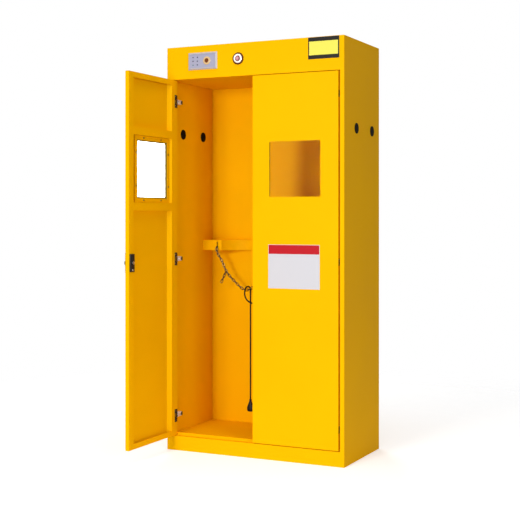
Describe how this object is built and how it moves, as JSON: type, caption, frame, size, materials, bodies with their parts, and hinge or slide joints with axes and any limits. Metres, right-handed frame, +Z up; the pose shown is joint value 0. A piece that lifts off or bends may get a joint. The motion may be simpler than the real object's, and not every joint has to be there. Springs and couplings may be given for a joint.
{
  "type": "gas cylinder cabinet",
  "caption": "Free-standing yellow steel cabinet for gas cylinders, with windowed doors, a chained cradle, an alarm panel and a push button.",
  "frame": {"origin": "middle of the footprint, on the floor", "axes": "+X to the right seen from the front, +Y to the back, +Z up; the doors face -Y"},
  "size_m": [0.905, 0.852, 1.9],
  "materials": {
    "yellow_paint": "semi-gloss powder coat",
    "zinc_steel": "bright zinc",
    "black_steel": "dark satin",
    "window_glass": "clear",
    "black_rubber": "matt",
    "black_plastic": "matt",
    "silver_plastic": "satin silver",
    "grey_plastic": "satin",
    "amber_lens": "clear gloss",
    "lamp_lens": "clear gloss",
    "red_lens": "clear gloss",
    "chrome_ring": "polished",
    "brass_pins": "plain",
    "white_plate": "printed film",
    "bordered_plate": "printed film"
  },
  "bodies": {
    "cabinet": {"alarm_bezel": "silver_plastic", "alarm_case": "black_plastic", "alarm_face": "grey_plastic", "alarm_lamp": "amber_lens", "alarm_leds": "lamp_lens", "back_panel": "yellow_paint", "button_bezel": "black_plastic", "button_ring": "chrome_ring", "button_switch": "black_plastic", "cable_gland": "black_plastic", "ceiling_panel": "yellow_paint", "cradle_rivets": "zinc_steel", "cylinder_cradle": "yellow_paint", "floor_stiffener": "yellow_paint", "floor_tray": "yellow_paint", "header_fascia": "yellow_paint", "header_plate": "bordered_plate", "lead_plug": "black_plastic", "left_chain": "zinc_steel", "left_hinge_arms": "zinc_steel", "left_hinge_plates": "zinc_steel", "left_side_panel": "yellow_paint", "pipe_plugs": "black_rubber", "plinth_panel": "yellow_paint", "plug_pins": "brass_pins", "right_chain": "zinc_steel", "right_hinge_arms": "zinc_steel", "right_hinge_plates": "zinc_steel", "right_side_panel": "yellow_paint", "roof_panel": "yellow_paint", "supply_lead": "black_rubber"},
    "left_door": {"left_door_pan": "yellow_paint", "left_hinge_leaves": "black_steel", "left_hinge_pins": "zinc_steel", "left_window_band": "yellow_paint", "left_window_frame": "yellow_paint", "left_window_gasket": "black_rubber", "left_window_glass": "window_glass", "left_window_screws": "zinc_steel", "latch_case": "zinc_steel", "latch_escutcheon": "black_steel"},
    "right_door": {"right_door_pan": "yellow_paint", "right_hinge_leaves": "black_steel", "right_hinge_pins": "zinc_steel", "right_window_band": "yellow_paint", "right_window_frame": "yellow_paint", "right_window_gasket": "black_rubber", "right_window_glass": "window_glass", "right_window_screws": "zinc_steel", "bolt_guides": "zinc_steel", "door_plate": "white_plate"},
    "latch": {"latch_spindle": "zinc_steel", "latch_handle": "black_steel", "latch_cam": "zinc_steel"},
    "button": {"button_cap": "red_lens"},
    "upper_bolt": {"upper_bolt": "zinc_steel"},
    "lower_bolt": {"lower_bolt": "zinc_steel"}
  },
  "joints": [
    {"name": "left_door_swing", "type": "hinge", "parent": "cabinet", "child": "left_door", "pos_m": [-0.414, -0.214, 0.9], "axis": [0, 0, 1], "range_deg": [-10, 90]},
    {"name": "right_door_swing", "type": "hinge", "parent": "cabinet", "child": "right_door", "pos_m": [0.414, -0.214, 0.9], "axis": [0, 0, 1], "range_deg": [0, 100]},
    {"name": "latch_turn", "type": "hinge", "parent": "left_door", "child": "latch", "pos_m": [-0.406, -0.605, 0.897], "axis": [1, 0, 0], "range_deg": [0, 90]},
    {"name": "button_press", "type": "slide", "parent": "cabinet", "child": "button", "axis": [0, 1, 0], "range_m": [0, 0.003], "stiffness_N_per_m": 400},
    {"name": "upper_bolt_slide", "type": "slide", "parent": "right_door", "child": "upper_bolt", "axis": [0, 0, 1], "range_m": [0, 0.015]},
    {"name": "lower_bolt_slide", "type": "slide", "parent": "right_door", "child": "lower_bolt", "axis": [0, 0, -1], "range_m": [0, 0.015]}
  ]
}
